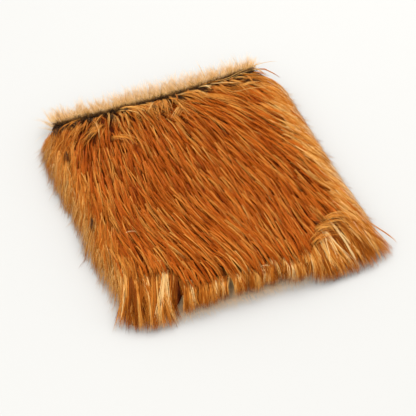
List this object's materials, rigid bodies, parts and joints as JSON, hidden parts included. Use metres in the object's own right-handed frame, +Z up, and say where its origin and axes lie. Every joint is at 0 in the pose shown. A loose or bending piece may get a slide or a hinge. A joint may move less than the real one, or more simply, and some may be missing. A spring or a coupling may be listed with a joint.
{
  "type": "pet lion mane wig",
  "caption": "Pet's lion mane: a tube of long pile fur cloth with rolled hems at the face and neck rims, lying flat with its pile combed from face to neck.",
  "frame": {"origin": "middle of the mane's footprint, on the surface that it lies on", "axes": "+Z up through the flat tube, +Y along the tube from the neck rim to the face rim, +X to the right"},
  "size_m": [0.3942, 0.4414, 0.0433],
  "materials": {
    "backing_cloth": "dark brown knitted backing",
    "hem_cloth": "rolled dark brown fur cloth",
    "long_pile": "long rust orange pile with pale tips",
    "under_pile": "crushed rust orange pile",
    "fringe_pile": "thin pale tan pile"
  },
  "bodies": {
    "root": {"backing_tube": "backing_cloth", "face_hem": "hem_cloth", "neck_hem": "hem_cloth", "mane_fur_top": "long_pile", "mane_fur_under": "under_pile", "face_fringe": "fringe_pile"}
  },
  "joints": []
}
